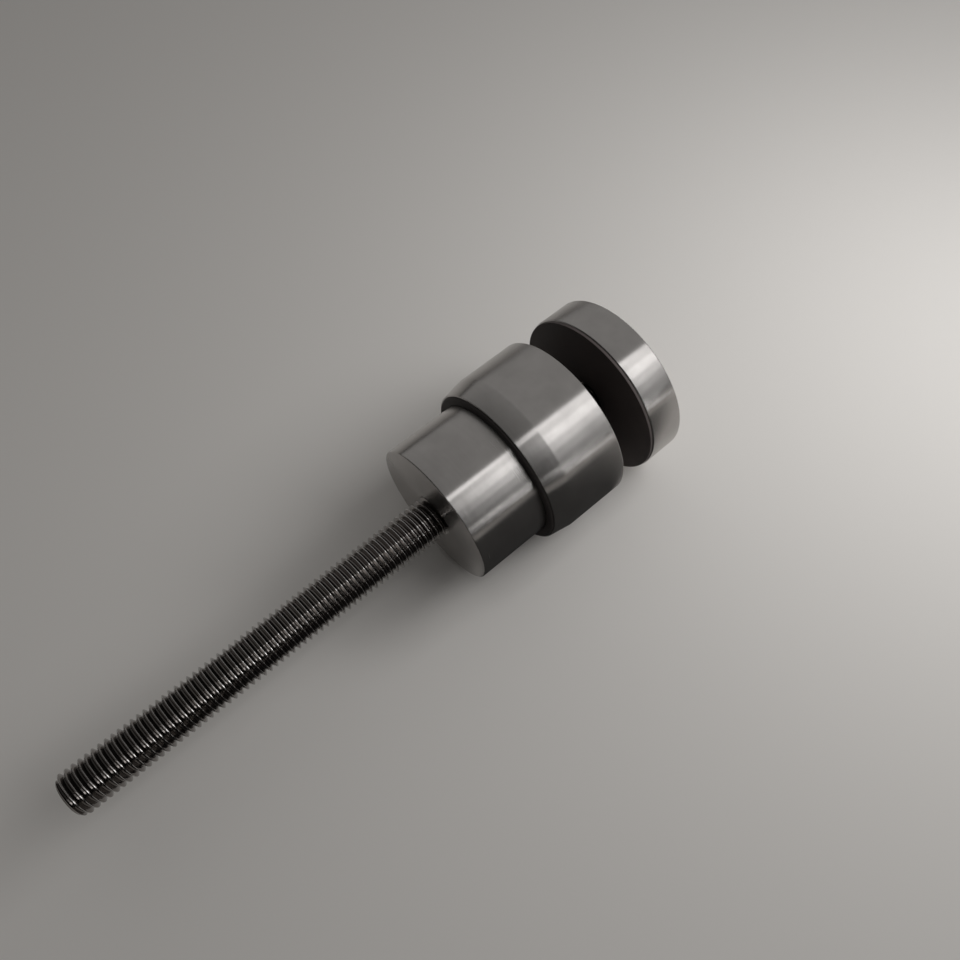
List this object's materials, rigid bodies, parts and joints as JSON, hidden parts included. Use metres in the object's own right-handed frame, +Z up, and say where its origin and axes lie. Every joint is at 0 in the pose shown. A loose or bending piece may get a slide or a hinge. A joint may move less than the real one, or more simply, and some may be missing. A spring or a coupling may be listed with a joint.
{
  "type": "glass panel standoff",
  "caption": "Turned steel standoff that holds a glass pane off a wall: threaded stud, base sleeve, tapered screw-on head, rubber seats and a clamping cap.",
  "frame": {"origin": "centre of the base's wall face, where the stud leaves it", "axes": "+X along the axis from the wall to the cap, +Z up, the stud runs into the wall along -X"},
  "size_m": [0.1781, 0.05, 0.05],
  "materials": {
    "satin_steel": "satin, fine turned grain",
    "thread_steel": "rolled thread, half bright",
    "black_rubber": "matte",
    "black_plastic": "matte"
  },
  "bodies": {
    "base": {"base": "satin_steel", "stud": "thread_steel"},
    "ring": {"seal_ring": "black_rubber"},
    "head": {"head": "satin_steel", "head_gasket": "black_rubber", "glass_bush": "black_plastic"},
    "pad": {"cap_gasket": "black_rubber"},
    "cap": {"cap": "satin_steel", "cap_screw": "thread_steel"}
  },
  "joints": [
    {"name": "head_advance", "type": "slide", "parent": "base", "child": "ring", "axis": [1, 0, 0], "range_m": [-0.003, 0.0015]},
    {"name": "head_turn", "type": "hinge", "parent": "ring", "child": "head", "pos_m": [0.034, 0, 0], "axis": [1, 0, 0], "range_deg": [-720, 360]},
    {"name": "cap_advance", "type": "slide", "parent": "head", "child": "pad", "axis": [1, 0, 0], "range_m": [-0.0015, 0.009]},
    {"name": "cap_turn", "type": "hinge", "parent": "pad", "child": "cap", "pos_m": [0.0628, 0, 0], "axis": [1, 0, 0], "range_deg": [-360, 2160]}
  ],
  "couplings": [
    {"joint": "head_advance", "follows": "head_turn", "m_per_rad": 0.00023873},
    {"joint": "cap_advance", "follows": "cap_turn", "m_per_rad": 0.00023873}
  ]
}
